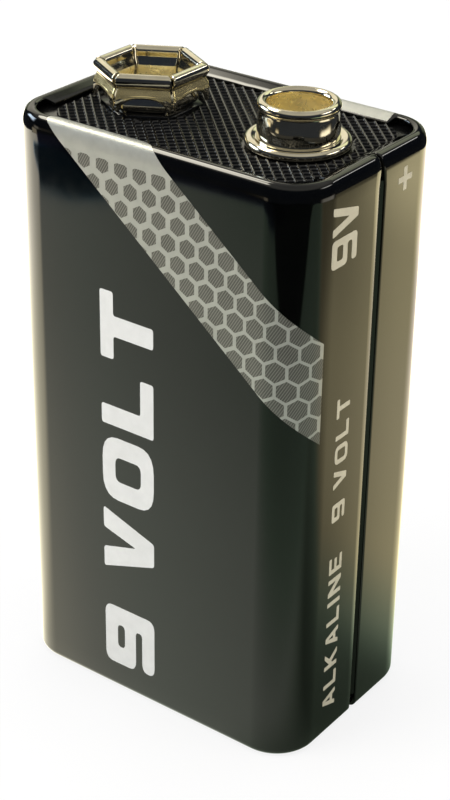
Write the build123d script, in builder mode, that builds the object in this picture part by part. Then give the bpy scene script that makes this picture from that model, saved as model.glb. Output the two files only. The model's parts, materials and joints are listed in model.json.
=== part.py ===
from build123d import *

import os
from math import ceil, cos, hypot, radians, sin, sqrt, tan

os.makedirs("parts", exist_ok=True)

# A nine volt block battery. Millimetres, +Z up, origin at the middle of the bottom.
# X runs along the wide side, towards the positive stud. Y runs along the narrow side.

# Overall sizes
body_width = 25.9
body_depth = 16.9
overall_height = 48.3
terminal_rise = 2.6
terminal_spacing = 12.7

# Steel jacket, one folded sheet
jacket_wall = 0.25
jacket_corner = 3.4
shoulder_radius = 2.2
shoulder_angle = 25.0
rim_radius = 0.55
flange_reach = 1.8
flange_slope = 21.0
corner_rim_reach = 1.1
foot_radius = 0.6
foot_reach = 1.8
seam_edge_y = 0.04
seam_width = 0.73
lap_reach = 2.2
lap_step = 0.45
lap_clearance = 0.05

# Moulded plates, insulator cards and the gaps round them
plate_clearance = 0.1
plate_edge_chamfer = 0.3
plate_floor_drop = 0.67
plate_thickness = 1.13
seat_rise = 0.29
base_plate_thickness = 1.0
base_edge_chamfer = 0.5
base_field_drop = 0.15
field_margin = 0.15
card_thickness = 0.2
card_margin = 0.75
card_corner = 2.4

# Knurled field of the top plate, raised ridges round square pits
knurl_height = 0.25
knurl_pitch = 0.92
knurl_ridge = 0.2
field_corner = 2.4

# Positive stud, a drawn cup with a rolled lip
stud_lip_radius = 2.86
stud_lip_thickness = 0.68
stud_barrel_radius = 2.87
stud_neck_radius = 2.72
stud_wall = 0.4
stud_flange_radius = 3.68
stud_flange_thickness = 0.4
stud_floor_thickness = 0.3

# Negative socket, a ring of six sprung petals
petal_count = 6
petal_sheet = 0.22
petal_slit = 0.12
socket_circumradius = 4.2
socket_lip_width = 0.59
socket_waist_apothem = 2.72
socket_base_apothem = 3.0
socket_skirt_tuck = 0.16
skirt_foot_rise = 0.63
skirt_foot_width = 0.4
skirt_arch_height = 1.05

# Rivets that hold the terminals to the plate
rivet_radius = 0.85
rivet_head_radius = 1.4
rivet_head_height = 0.45
rivet_upset_radius = 1.25
rivet_upset_height = 0.25
rivet_clearance = 0.03

# Cells, straps and leads
sleeve_wall = 0.1
sleeve_clearance = 0.02
cell_play = 0.03
cell_shoulder_chamfer = 0.45
nub_radius = 1.6
nub_height = 0.9
nub_chamfer = 0.15
crimp_width = 0.65
seal_lip = 0.4
seal_depth = 0.9
cap_thickness = 0.35
cap_chamfer = 0.1
strap_width = 3.2
strap_thickness = 0.2
lead_width = 3.4
lead_bend = 0.3

# Levels, from the floor up
jacket_height = overall_height - terminal_rise
base_top = jacket_wall + base_plate_thickness
strap_bottom = base_top + card_thickness
cell_bottom = strap_bottom + strap_thickness
plate_floor = jacket_height - plate_floor_drop
plate_bottom = plate_floor - plate_thickness
seat_level = plate_floor + seat_rise
lead_bottom = plate_bottom - strap_thickness
upset_bottom = lead_bottom - rivet_upset_height
card_bottom = upset_bottom - card_thickness - rivet_clearance
cell_top = card_bottom - strap_thickness
cell_length = cell_top - cell_bottom

# Places shared by several pieces
stud_x = terminal_spacing / 2
socket_x = -terminal_spacing / 2
inner_width = body_width - 2 * jacket_wall
inner_depth = body_depth - 2 * jacket_wall
plate_width = inner_width - 2 * plate_clearance
plate_depth = inner_depth - 2 * plate_clearance
plate_corner = jacket_corner - jacket_wall - plate_clearance
field_width = body_width - 2 * (flange_reach + field_margin)
field_depth = body_depth - 2 * (flange_reach + field_margin)
seam_far_y = seam_edge_y + seam_width

# Six cells fill the jacket in three columns, clear of its lap, and two rows
cell_pitch_x = (inner_width - 2 * (jacket_wall + lap_clearance)) / 3
cell_pitch_y = inner_depth / 2
row_y = cell_pitch_y / 2
sleeve_radius = min(cell_pitch_x, cell_pitch_y) / 2 - cell_play
cell_radius = sleeve_radius - sleeve_wall - sleeve_clearance
seal_radius = cell_radius - crimp_width
cap_radius = seal_radius - seal_lip


# Jacket: the section is swept from one sheet edge round the body to the other
half_width = body_width / 2
half_depth = body_depth / 2
shoulder_rise = shoulder_radius * sin(radians(shoulder_angle))
bend_rise = rim_radius * (1 - sin(radians(shoulder_angle)))
shoulder_start = jacket_height - shoulder_rise - bend_rise

with BuildPart() as jacket:
    with BuildLine() as jacket_path:
        FilletPolyline(
            (half_width, seam_edge_y),
            (half_width, -half_depth),
            (-half_width, -half_depth),
            (-half_width, half_depth),
            (half_width, half_depth),
            (half_width, seam_far_y),
            radius=jacket_corner,
        )
    seam_plane = Plane(origin=(half_width, seam_edge_y, 0), x_dir=(-1, 0, 0), z_dir=(0, 1, 0))
    with BuildSketch(seam_plane):
        with BuildLine():
            foot = Line((foot_reach, 0), (foot_radius, 0))
            heel = JernArc(foot @ 1, foot % 1, foot_radius, -90)
            wall = Line(heel @ 1, (0, shoulder_start))
            shoulder = JernArc(wall @ 1, wall % 1, shoulder_radius, -shoulder_angle)
            bend = JernArc(shoulder @ 1, shoulder % 1, rim_radius, shoulder_angle - 90 - flange_slope)
            flange_length = (flange_reach - (bend @ 1).X) / cos(radians(flange_slope))
            PolarLine(bend @ 1, flange_length, direction=bend % 1)
            offset(amount=jacket_wall, side=Side.RIGHT)
        make_face()
    sweep(path=jacket_path)

    # At the corners the rim has no flange, only its bend
    with BuildSketch(Plane.XY.offset(shoulder_start)):
        RectangleRounded(
            body_width - 2 * corner_rim_reach,
            body_depth - 2 * corner_rim_reach,
            jacket_corner - corner_rim_reach,
        )
        Rectangle(body_width - 2 * jacket_corner, body_depth, mode=Mode.SUBTRACT)
        Rectangle(body_width, body_depth - 2 * jacket_corner, mode=Mode.SUBTRACT)
    extrude(amount=jacket_height, mode=Mode.SUBTRACT)

    # The lap steps in behind the other edge of the sheet
    lap_x = half_width - 1.5 * jacket_wall - lap_clearance
    wall_x = half_width - jacket_wall / 2
    with BuildSketch(Plane.XY.offset(base_top)):
        with BuildLine():
            FilletPolyline(
                (wall_x, seam_far_y + 2 * lap_step),
                (wall_x, seam_far_y + lap_step / 2),
                (lap_x, seam_far_y - lap_step / 2),
                (lap_x, seam_edge_y - lap_reach),
                radius=jacket_wall,
            )
            offset(amount=jacket_wall / 2, side=Side.BOTH)
        make_face()
    extrude(amount=plate_bottom - base_top - lap_clearance)

jacket.part.label = "jacket"
export_step(jacket.part, "parts/jacket.step")


# Knurl pits lie on a square grid turned by 45 degrees, wherever a whole pit is clear
pit_width = knurl_pitch - knurl_ridge
pit_reach = pit_width / sqrt(2)
socket_seat_apothem = socket_base_apothem + petal_sheet
socket_seat_reach = socket_seat_apothem / cos(radians(180 / petal_count))


def pit_is_clear(x, y):
    """True where a whole pit lies inside the field and outside both seats."""
    corner_x = abs(x) + pit_reach - (field_width / 2 - field_corner)
    corner_y = abs(y) + pit_reach - (field_depth / 2 - field_corner)
    in_field = max(corner_x, corner_y) < field_corner
    in_corner = min(corner_x, corner_y) < 0 or hypot(corner_x, corner_y) < field_corner
    off_stud = hypot(x - stud_x, y) > stud_flange_radius + pit_reach
    off_socket = hypot(x - socket_x, y) > socket_seat_reach + pit_reach
    return in_field and in_corner and off_stud and off_socket


pit_rows = ceil((field_width + field_depth) / sqrt(2) / knurl_pitch)
pit_spots = []
for spot in GridLocations(knurl_pitch, knurl_pitch, pit_rows, pit_rows):
    centre = spot.position.rotate(Axis.Z, 45)
    if pit_is_clear(centre.X, centre.Y):
        pit_spots.append((centre.X, centre.Y))

# Top plate, with the knurled field and two seats for the terminals
with BuildPart() as top_plate:
    with BuildSketch(Plane.XY.offset(plate_bottom)):
        RectangleRounded(plate_width, plate_depth, plate_corner)
    extrude(amount=plate_thickness)
    chamfer(top_plate.edges().group_by(Axis.Z)[-1], length=plate_edge_chamfer)
    with BuildSketch(Plane.XY.offset(plate_floor)):
        RectangleRounded(field_width, field_depth, field_corner)
        with Locations(*pit_spots):
            Rectangle(pit_width, pit_width, rotation=45, mode=Mode.SUBTRACT)
    extrude(amount=knurl_height)
    with BuildSketch(Plane.XY.offset(plate_floor)):
        with Locations((stud_x, 0)):
            Circle(stud_flange_radius)
        with Locations((socket_x, 0)):
            RegularPolygon(socket_seat_apothem, petal_count, major_radius=False, rotation=30)
    extrude(amount=seat_rise)
    with Locations((stud_x, 0, seat_level), (socket_x, 0, seat_level)):
        Hole(rivet_radius + rivet_clearance)

top_plate.part.label = "top_plate"
export_step(top_plate.part, "parts/top_plate.step")


# Base plate, held by the turned-in foot of the jacket
with BuildPart() as base_plate:
    with BuildSketch(Plane.XY.offset(jacket_wall)):
        RectangleRounded(plate_width, plate_depth, plate_corner)
    extrude(amount=base_plate_thickness)
    chamfer(base_plate.edges().group_by(Axis.Z)[0], length=base_edge_chamfer)
    with BuildSketch(Plane.XY.offset(jacket_wall - base_field_drop)):
        RectangleRounded(
            body_width - 2 * (foot_reach + field_margin),
            body_depth - 2 * (foot_reach + field_margin),
            jacket_corner - foot_reach - field_margin,
        )
    extrude(amount=base_field_drop)

base_plate.part.label = "base_plate"
export_step(base_plate.part, "parts/base_plate.step")


# Positive stud: barrel wall, rolled lip and a flange that rests on the plate
stud_section = Plane(origin=(stud_x, 0, seat_level), x_dir=(1, 0, 0), z_dir=(0, -1, 0))
stud_height = overall_height - seat_level
lip_round = stud_lip_thickness / 2
lip_centre = stud_lip_radius - lip_round
lip_open_angle = 50

with BuildPart() as positive_stud:
    with BuildSketch(stud_section):
        with BuildLine():
            lip = CenterArc(
                (lip_centre, stud_height - lip_round), lip_round, -lip_open_angle, 180 + 2 * lip_open_angle
            )
            flange_round = stud_flange_thickness / 2
            neck = (stud_neck_radius, stud_flange_thickness + flange_round)
            belly = (stud_barrel_radius, (stud_height + stud_flange_thickness) / 2)
            ThreePointArc(lip @ 0, belly, neck)
            flange_top = (stud_flange_radius - flange_round, stud_flange_thickness)
            Line(neck, flange_top)
            rim_edge = ThreePointArc(
                flange_top, (stud_flange_radius, flange_round), (stud_flange_radius - flange_round, 0)
            )
            inner_radius = stud_barrel_radius - stud_wall
            rivet_hole = rivet_radius + rivet_clearance
            Polyline(
                rim_edge @ 1,
                (rivet_hole, 0),
                (rivet_hole, stud_floor_thickness),
                (inner_radius, stud_floor_thickness),
                (inner_radius, stud_height - 3 * lip_round),
                lip @ 1,
            )
        make_face()
    revolve(axis=Axis((stud_x, 0, seat_level), (0, 0, 1)))

positive_stud.part.label = "positive_stud"
export_step(positive_stud.part, "parts/positive_stud.step")


# Negative socket: one petal is bent up, trimmed to its sixth and arched, then patterned
socket_apothem = socket_circumradius * cos(radians(180 / petal_count))
socket_height = overall_height - seat_level
half_sheet = petal_sheet / 2
lip_outer = socket_apothem - half_sheet
lip_inner = socket_apothem - socket_lip_width + half_sheet
lip_bend = (lip_outer - lip_inner) / 2.1
petal_plane = Plane(origin=(socket_x, 0, seat_level), x_dir=(1, 0, 0), z_dir=(0, -1, 0))
petal_axis = Axis((socket_x, 0, seat_level), (0, 0, 1))

with BuildPart() as petal:
    with BuildSketch(petal_plane):
        with BuildLine():
            FilletPolyline(
                (rivet_head_radius, half_sheet),
                (socket_base_apothem, half_sheet),
                (socket_waist_apothem, 0.55 * socket_height),
                (lip_inner, 0.84 * socket_height),
                (lip_inner, socket_height - half_sheet),
                (lip_outer, socket_height - half_sheet),
                (lip_outer, 0.84 * socket_height),
                (lip_outer - socket_skirt_tuck, 0.76 * socket_height),
                (lip_outer, skirt_foot_rise),
                radius=(0.4, 0.6, 0.3, lip_bend, lip_bend, 0.15, 0.3),
            )
            offset(amount=half_sheet, side=Side.BOTH)
        make_face()
    extrude(amount=socket_circumradius / 2, both=True)

    # The sixth of the ring that this petal fills, less half a slit on each side
    sector_half_angle = 180 / petal_count
    slit_setback = petal_slit / 2 / sin(radians(sector_half_angle))
    sector_reach = socket_apothem + petal_sheet
    sector_half_width = (sector_reach - slit_setback) * tan(radians(sector_half_angle))
    with BuildSketch(Plane(origin=(socket_x, 0, seat_level), z_dir=(0, 0, 1))):
        with BuildLine():
            Polyline(
                (slit_setback, 0),
                (sector_reach, -sector_half_width),
                (sector_reach, sector_half_width),
                close=True,
            )
        make_face()
    extrude(amount=socket_height, mode=Mode.INTERSECT)

    # The skirt's arched edge leaves a foot at each end
    arch_half = socket_circumradius / 2 - skirt_foot_width
    arch_plane = Plane(origin=(socket_x + lip_outer, 0, seat_level), x_dir=(0, 1, 0), z_dir=(1, 0, 0))
    with BuildSketch(arch_plane):
        with BuildLine():
            arch = ThreePointArc(
                (-arch_half, skirt_foot_rise),
                (0, skirt_foot_rise + skirt_arch_height),
                (arch_half, skirt_foot_rise),
            )
            Polyline(arch @ 1, (arch_half, 0), (-arch_half, 0), arch @ 0)
        make_face()
    extrude(amount=socket_skirt_tuck + petal_sheet, both=True, mode=Mode.SUBTRACT)

with BuildPart() as negative_socket:
    with BuildSketch(Plane.XY.offset(seat_level)):
        with Locations((socket_x, 0)):
            RegularPolygon(socket_base_apothem - 0.4, petal_count, major_radius=False, rotation=30)
            Circle(rivet_radius + rivet_clearance, mode=Mode.SUBTRACT)
    extrude(amount=petal_sheet)
    for turn in range(petal_count):
        add(petal.part.rotate(petal_axis, turn * 360 / petal_count))

negative_socket.part.label = "negative_socket"
export_step(negative_socket.part, "parts/negative_socket.step")


def make_rivet(name, centre_x, floor_thickness):
    """A rivet with a domed head on the terminal's floor and an upset ring under the lead."""
    head_seat = seat_level + floor_thickness
    section = Plane(origin=(centre_x, 0, 0), x_dir=(1, 0, 0), z_dir=(0, -1, 0))
    with BuildPart() as rivet:
        with BuildSketch(section):
            with BuildLine():
                dome = ThreePointArc(
                    (0, head_seat + rivet_head_height),
                    (0.75 * rivet_head_radius, head_seat + 0.68 * rivet_head_height),
                    (rivet_head_radius, head_seat),
                )
                Polyline(
                    dome @ 1,
                    (rivet_radius, head_seat),
                    (rivet_radius, lead_bottom),
                    (rivet_upset_radius, lead_bottom),
                    (rivet_upset_radius - 0.1, upset_bottom),
                    (0, upset_bottom),
                    dome @ 0,
                )
            make_face()
        revolve(axis=Axis((centre_x, 0, 0), (0, 0, 1)))
    rivet.part.label = name
    export_step(rivet.part, f"parts/{name}.step")


make_rivet("stud_rivet", stud_x, stud_floor_thickness)
make_rivet("socket_rivet", socket_x, petal_sheet)


def make_lead(name, side):
    """A folded strip from the end of a cell up to a terminal's rivet; side is +1 or -1 in X."""
    cell_end_y = -side * (row_y + strap_width / 2)
    step_y = -side * (row_y - strap_width / 2)
    upper_y = step_y + side * 2 * lead_bend
    rivet_end_y = side * (rivet_upset_radius + lead_bend)
    low_z = cell_top + strap_thickness / 2
    high_z = lead_bottom + strap_thickness / 2
    lead_x = side * (stud_x + cell_pitch_x) / 2
    section = Plane(origin=(lead_x, 0, 0), x_dir=(0, 1, 0), z_dir=(1, 0, 0))
    with BuildPart() as lead:
        with BuildSketch(section):
            with BuildLine():
                FilletPolyline(
                    (cell_end_y, low_z), (step_y, low_z), (upper_y, high_z), (rivet_end_y, high_z), radius=lead_bend
                )
                offset(amount=strap_thickness / 2, side=Side.BOTH)
            make_face()
        extrude(amount=lead_width / 2, both=True)
        with Locations((side * stud_x, 0, plate_bottom)):
            Hole(rivet_radius + rivet_clearance)
    lead.part.label = name
    export_step(lead.part, f"parts/{name}.step")


make_lead("positive_lead", 1)
make_lead("negative_lead", -1)


# Insulator cards above and below the cells
lead_window_y = row_y - strap_width / 2 - lead_bend

with BuildPart() as top_insulator:
    with BuildSketch(Plane.XY.offset(card_bottom)):
        RectangleRounded(body_width - 2 * card_margin, body_depth - 2 * card_margin, card_corner)
        with Locations((-(stud_x + cell_pitch_x) / 2, lead_window_y), ((stud_x + cell_pitch_x) / 2, -lead_window_y)):
            Rectangle(lead_width + 4 * lap_clearance, 5 * lead_bend, mode=Mode.SUBTRACT)
    extrude(amount=card_thickness)

top_insulator.part.label = "top_insulator"
export_step(top_insulator.part, "parts/top_insulator.step")

with BuildPart() as base_insulator:
    with BuildSketch(Plane.XY.offset(base_top)):
        RectangleRounded(body_width - 2 * card_margin, body_depth - 2 * card_margin, card_corner)
    extrude(amount=card_thickness)

base_insulator.part.label = "base_insulator"
export_step(base_insulator.part, "parts/base_insulator.step")


def make_strap(name, centre, spacing, angle, bottom):
    """A flat strip welded across the ends of two cells."""
    with BuildPart() as strap:
        with BuildSketch(Plane.XY.offset(bottom)):
            with Locations(centre):
                SlotCenterToCenter(spacing, strap_width, rotation=angle)
        extrude(amount=strap_thickness)
    strap.part.label = name
    export_step(strap.part, f"parts/{name}.step")


for number, column in enumerate((1, 0, -1), start=1):
    make_strap(f"base_strap_{number}", (column * cell_pitch_x, 0), cell_pitch_y, 90, strap_bottom)
make_strap("top_strap_1", (cell_pitch_x / 2, row_y), cell_pitch_x, 0, cell_top)
make_strap("top_strap_2", (-cell_pitch_x / 2, -row_y), cell_pitch_x, 0, cell_top)


def make_cell(number, x, y, positive_up):
    """A sleeved cell: can with its pip, seal and cap at the other end, and a printed sleeve."""
    if positive_up:
        section = Plane(origin=(x, y, cell_bottom), x_dir=(1, 0, 0), z_dir=(0, -1, 0))
    else:
        section = Plane(origin=(x, y, cell_top), x_dir=(1, 0, 0), z_dir=(0, 1, 0))
    axis = Axis((x, y, cell_bottom), (0, 0, 1))
    body_length = cell_length - nub_height

    with BuildPart() as can:
        with BuildSketch(section):
            with BuildLine():
                Polyline(
                    (0, cell_length),
                    (nub_radius - nub_chamfer, cell_length),
                    (nub_radius, cell_length - nub_chamfer),
                    (nub_radius, body_length),
                    (cell_radius - cell_shoulder_chamfer, body_length),
                    (cell_radius, body_length - cell_shoulder_chamfer),
                    (cell_radius, cap_thickness),
                    (cell_radius - cap_thickness / 2, cap_thickness / 2),
                    (seal_radius, cap_thickness / 2),
                    (seal_radius, seal_depth),
                    (0, seal_depth),
                    close=True,
                )
            make_face()
        revolve(axis=axis)

    with BuildPart() as seal:
        with BuildSketch(section):
            with BuildLine():
                Polyline(
                    (0, seal_depth),
                    (seal_radius, seal_depth),
                    (seal_radius, cap_thickness / 2),
                    (cap_radius, cap_thickness / 2),
                    (cap_radius, cap_thickness),
                    (0, cap_thickness),
                    close=True,
                )
            make_face()
        revolve(axis=axis)

    with BuildPart() as cap:
        with BuildSketch(section):
            with BuildLine():
                Polyline(
                    (0, 0),
                    (cap_radius - cap_chamfer, 0),
                    (cap_radius, cap_chamfer),
                    (cap_radius, cap_thickness),
                    (0, cap_thickness),
                    close=True,
                )
            make_face()
        revolve(axis=axis)

    with BuildPart() as sleeve:
        inner_radius = sleeve_radius - sleeve_wall
        sleeve_top = body_length - 2 * cell_shoulder_chamfer
        with BuildSketch(section):
            with BuildLine():
                Polyline(
                    (inner_radius, 2 * cap_thickness),
                    (sleeve_radius, 2 * cap_thickness),
                    (sleeve_radius, sleeve_top),
                    (inner_radius, sleeve_top),
                    close=True,
                )
            make_face()
        revolve(axis=axis)

    for piece, name in ((can, "can"), (seal, "seal"), (cap, "cap"), (sleeve, "sleeve")):
        piece.part.label = f"cell_{number}_{name}"
        export_step(piece.part, f"parts/cell_{number}_{name}.step")


# The six cells in series, from the stud's side round to the socket's side
make_cell(1, cell_pitch_x, -row_y, True)
make_cell(2, cell_pitch_x, row_y, False)
make_cell(3, 0, row_y, True)
make_cell(4, 0, -row_y, False)
make_cell(5, -cell_pitch_x, -row_y, True)
make_cell(6, -cell_pitch_x, row_y, False)
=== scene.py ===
import json
import math
from itertools import product

import bmesh
import bpy
from mathutils import Matrix, Vector
from mathutils.geometry import tessellate_polygon


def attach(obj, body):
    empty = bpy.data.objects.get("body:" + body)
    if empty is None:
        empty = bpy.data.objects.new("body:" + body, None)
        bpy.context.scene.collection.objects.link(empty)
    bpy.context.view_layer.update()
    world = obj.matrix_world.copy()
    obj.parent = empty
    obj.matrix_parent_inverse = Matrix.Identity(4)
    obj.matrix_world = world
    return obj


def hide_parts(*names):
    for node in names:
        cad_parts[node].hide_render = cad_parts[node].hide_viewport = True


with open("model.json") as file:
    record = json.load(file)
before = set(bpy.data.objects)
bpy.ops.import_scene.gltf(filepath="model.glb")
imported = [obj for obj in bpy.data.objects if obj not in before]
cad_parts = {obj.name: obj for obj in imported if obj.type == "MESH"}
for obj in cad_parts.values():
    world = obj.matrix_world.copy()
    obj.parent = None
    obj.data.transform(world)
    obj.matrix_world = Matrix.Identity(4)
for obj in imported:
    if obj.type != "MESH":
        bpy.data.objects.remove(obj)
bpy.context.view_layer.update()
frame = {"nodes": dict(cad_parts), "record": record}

MM = 0.001

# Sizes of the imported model, in millimetres and radians
HALF_W = 12.95
HALF_D = 8.45
CORNER = 3.4
WALL = 0.25
TOP = 45.7
SHOULDER_R = 2.2
SHOULDER_A = math.radians(25)
RIM_R = 0.55
FLANGE = 1.8
SLOPE = math.radians(21)
CORNER_RIM = 1.1
FOOT_R = 0.6
FOOT = 1.8
SEAM_NEAR = 0.04
SEAM_FAR = 0.77
PLATE_FLOOR = 45.03
PLATE_BOTTOM = 43.9
SEAT = 45.32
HEIGHT = 48.3
STUD_X = 6.35
SOCKET_X = -6.35
HALF_SIXTH = math.radians(30)


# Meshes

def add_object(name, mesh, materials, body="root", replaces=()):
    """A new object with its materials; it rides a body, unless it belongs to the stage."""
    for material in materials:
        mesh.materials.append(material)
    obj = bpy.data.objects.new(name, mesh)
    bpy.context.scene.collection.objects.link(obj)
    if body:
        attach(obj, body)
    if replaces:
        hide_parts(*replaces)
    return obj


def add_piece(name, bm, sharp_degrees, finishes, replaces=()):
    """A piece of the part, shaded smooth, but sharp at edges that turn by more than the given angle."""
    bmesh.ops.recalc_face_normals(bm, faces=bm.faces[:])
    for face in bm.faces:
        face.smooth = True
    for edge in bm.edges:
        if len(edge.link_faces) == 2 and edge.calc_face_angle(0.0) > math.radians(sharp_degrees):
            edge.smooth = False
    mesh = bpy.data.meshes.new(name)
    bm.to_mesh(mesh)
    bm.free()
    add_object(name, mesh, [MATERIALS[finish] for finish in finishes], replaces=replaces)


def spaced(start, end, count, first=0):
    """Evenly spaced values, from the one with the number first up to the end."""
    return [start + (end - start) * i / count for i in range(first, count + 1)]


def add_points(bm, points):
    return [bm.verts.new(Vector(p) * MM) for p in points]


def bridge(bm, a, b):
    """Faces between two closed rings, in order; a ring of one point is the tip of a cone."""
    made = []
    steps = max(len(a), len(b))
    for k in range(steps):
        k2 = (k + 1) % steps
        corners = (a[k % len(a)], a[k2 % len(a)], b[k2 % len(b)], b[k % len(b)])
        made.append(bm.faces.new(list(dict.fromkeys(corners))))
    return made


def turn_ring(centre_x, radius, z, steps, start=0.0):
    """Points of a level ring round the axis at centre_x, the first one start steps round."""
    angles = [2 * math.pi * (k + start) / steps for k in range(steps)]
    return [(centre_x + radius * math.cos(a), radius * math.sin(a), z) for a in angles]


def revolve(bm, centre_x, section, steps, closed=True, material_of=None):
    """Turns a section of (radius, height) points round the axis at centre_x."""
    rings = []
    for radius, z in section:
        points = turn_ring(centre_x, radius, z, steps)
        rings.append(add_points(bm, points if radius > 0 else points[:1]))
    pairs = list(zip(rings, rings[1:] + rings[:1]))
    if not closed:
        pairs.pop()
    for i, (a, b) in enumerate(pairs):
        for face in bridge(bm, a, b):
            if material_of:
                face.material_index = material_of(i)


def two_sides(line, half):
    """The two sides of a strip along a flat line, as pairs of points."""
    sides = []
    for i, p in enumerate(line):
        along = (line[min(i + 1, len(line) - 1)] - line[max(i - 1, 0)]).normalized()
        across = Vector((-along.y, along.x)) * half
        sides.append((p + across, p - across))
    return sides


def close_strip(bm, ring, count):
    """Fills a strip's section: count points along each side, and between them those round its end."""
    size = len(ring)
    made = []
    for k in range(count - 1):
        made.append(bm.faces.new((ring[k], ring[k + 1], ring[size - 2 - k], ring[size - 1 - k])))
    if size > 2 * count:
        made.append(bm.faces.new(ring[count - 1:size - count + 1]))
    return made


def arc(cx, cy, radius, start, end, steps):
    """Points of an arc, angles in degrees."""
    turns = [math.radians(a) for a in spaced(start, end, steps)]
    return [(cx + radius * math.cos(a), cy + radius * math.sin(a)) for a in turns]


def round_path(points, radii, step=12):
    """A path with its inner corners rounded, as short straight runs of about step degrees."""
    out = [points[0]]
    for i in range(1, len(points) - 1):
        p0, p1, p2 = (Vector(points[k]) for k in (i - 1, i, i + 1))
        a, b = (p0 - p1).normalized(), (p2 - p1).normalized()
        angle = a.angle(b)
        radius = radii[i - 1]
        reach = radius / math.tan(angle / 2)
        centre = p1 + (a + b).normalized() * (radius / math.sin(angle / 2))
        start, end = p1 + a * reach, p1 + b * reach
        v0, v1 = start - centre, end - centre
        turn = v0.angle_signed(v1)
        count = max(2, int(abs(math.degrees(turn)) / step) + 1)
        for k in range(count + 1):
            rotated = v0.copy()
            rotated.rotate(Matrix.Rotation(-turn * k / count, 2))
            out.append(tuple(centre + rotated))
    out.append(points[-1])
    return out


def ease(a, b, t):
    """From 0 at a to 1 at b, eased at both ends; b may be the lower one."""
    t = max(0.0, min(1.0, (t - a) / (b - a)))
    return t * t * (3 - 2 * t)


# The jacket's sheet: s runs round the body from the seam, h runs up the wall and over the rim

ARC = CORNER * math.pi / 2
RUNS = [
    ("line", SEAM_NEAR + HALF_D - CORNER), ("arc", ARC),
    ("line", 2 * (HALF_W - CORNER)), ("arc", ARC),
    ("line", 2 * (HALF_D - CORNER)), ("arc", ARC),
    ("line", 2 * (HALF_W - CORNER)), ("arc", ARC),
    ("line", HALF_D - CORNER - SEAM_FAR),
]
RUN_STARTS = [sum(length for kind, length in RUNS[:k]) for k in range(len(RUNS) + 1)]
AROUND = RUN_STARTS[-1]

SHOULDER_Z = TOP - SHOULDER_R * math.sin(SHOULDER_A) - RIM_R * (1 - math.sin(SHOULDER_A))
SHOULDER_H = SHOULDER_Z + SHOULDER_R * SHOULDER_A
BEND_TURN = math.pi / 2 + SLOPE - SHOULDER_A
BEND_H = SHOULDER_H + RIM_R * BEND_TURN
BEND_N = SHOULDER_R * (1 - math.cos(SHOULDER_A)) + RIM_R * math.cos(SHOULDER_A)
BEND_Z = TOP - RIM_R
FLANGE_N = BEND_N + RIM_R * math.sin(SLOPE)
HEEL_H = FOOT_R - FOOT_R * math.pi / 2
FOOT_H = HEEL_H - (FOOT - FOOT_R)


def perimeter(s):
    """Point and outward normal on the outline of the body."""
    x, y, heading = HALF_W, SEAM_NEAR, -math.pi / 2
    left = s
    for k, (kind, length) in enumerate(RUNS):
        go = left if k == len(RUNS) - 1 else min(left, length)
        if kind == "line":
            x, y = x + go * math.cos(heading), y + go * math.sin(heading)
        else:
            cx, cy = x + math.sin(heading) * CORNER, y - math.cos(heading) * CORNER
            heading -= go / CORNER
            x, y = cx - math.sin(heading) * CORNER, cy + math.cos(heading) * CORNER
        left -= go
        if not left:
            break
    return x, y, -math.sin(heading), math.cos(heading)


def flange_h(reach):
    return BEND_H + (reach - FLANGE_N) / math.cos(SLOPE)


def profile(h):
    """Distance in from the wall, height, and elevation of the normal, for a place on the sheet."""
    if h < HEEL_H:
        return FOOT_R + HEEL_H - h, 0.0, -math.pi / 2
    if h < FOOT_R:
        a = (h - FOOT_R) / FOOT_R
        return FOOT_R * (1 - math.cos(a)), FOOT_R + FOOT_R * math.sin(a), a
    if h < SHOULDER_Z:
        return 0.0, h, 0.0
    if h < SHOULDER_H:
        a = (h - SHOULDER_Z) / SHOULDER_R
        return SHOULDER_R * (1 - math.cos(a)), SHOULDER_Z + SHOULDER_R * math.sin(a), a
    if h < BEND_H:
        a = SHOULDER_A + (h - SHOULDER_H) / RIM_R
        return BEND_N - RIM_R * math.cos(a), BEND_Z + RIM_R * math.sin(a), a
    a = math.pi / 2 + SLOPE
    run = h - BEND_H
    return FLANGE_N + run * math.cos(SLOPE), BEND_Z + RIM_R * math.cos(SLOPE) - run * math.sin(SLOPE), a


def sheet_point(s, h, lift=0.0):
    """A place on the sheet in metres, lifted off its outer face by so many millimetres."""
    x, y, nx, ny = perimeter(s)
    n, z, a = profile(h)
    n -= lift * math.cos(a)
    z += lift * math.sin(a)
    return Vector((x - nx * n, y - ny * n, z)) * MM


# The folded sheet: its rim comes in less at the corners and wanders, and its two ends meet at the seam

RIM_WAVES = ((0.018, 1.9, 0.6), (0.012, 4.3, 2.1))
RIM_EASE = 0.3
RIM_CLOSING = 0.24
CLOSING_FROM = SHOULDER_Z - 0.8
CLOSING_REACH = 1.5
NEAR_ROUND = 0.05
FAR_ROUND = 0.08
FAR_DROP = 0.07
FLANGE_SHARES = (0.15, 0.4, 0.7, 1.0)
WALL_ROWS = [2.0, 6.0, 12.0, 18.0, 24.0, 30.0, 36.0, 41.0, 43.5]
EDGE_TURNS = [math.radians(22.5 * k) for k in range(1, 8)]
UV_PER_MM = 0.01
LACQUERED, BARE, CUT = 0, 1, 2


def rim_reach(s):
    """How far in the rim comes: to the flange's edge on the straight runs, less at the corners."""
    wave = sum(size * math.sin(s * rate + start) for size, rate, start in RIM_WAVES)
    inside = 0.0
    for k in range(0, len(RUNS), 2):
        start = RUN_STARTS[k] + (0.05 if k else -9.0)
        end = RUN_STARTS[k + 1] + (-0.05 if k < len(RUNS) - 1 else 9.0)
        shown = ease(start, start + RIM_EASE, s) * (1 - ease(end - RIM_EASE, end, s))
        inside = max(inside, shown)
    return CORNER_RIM + (FLANGE - CORNER_RIM) * inside + wave * (0.35 + 0.65 * inside) - 0.02


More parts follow.
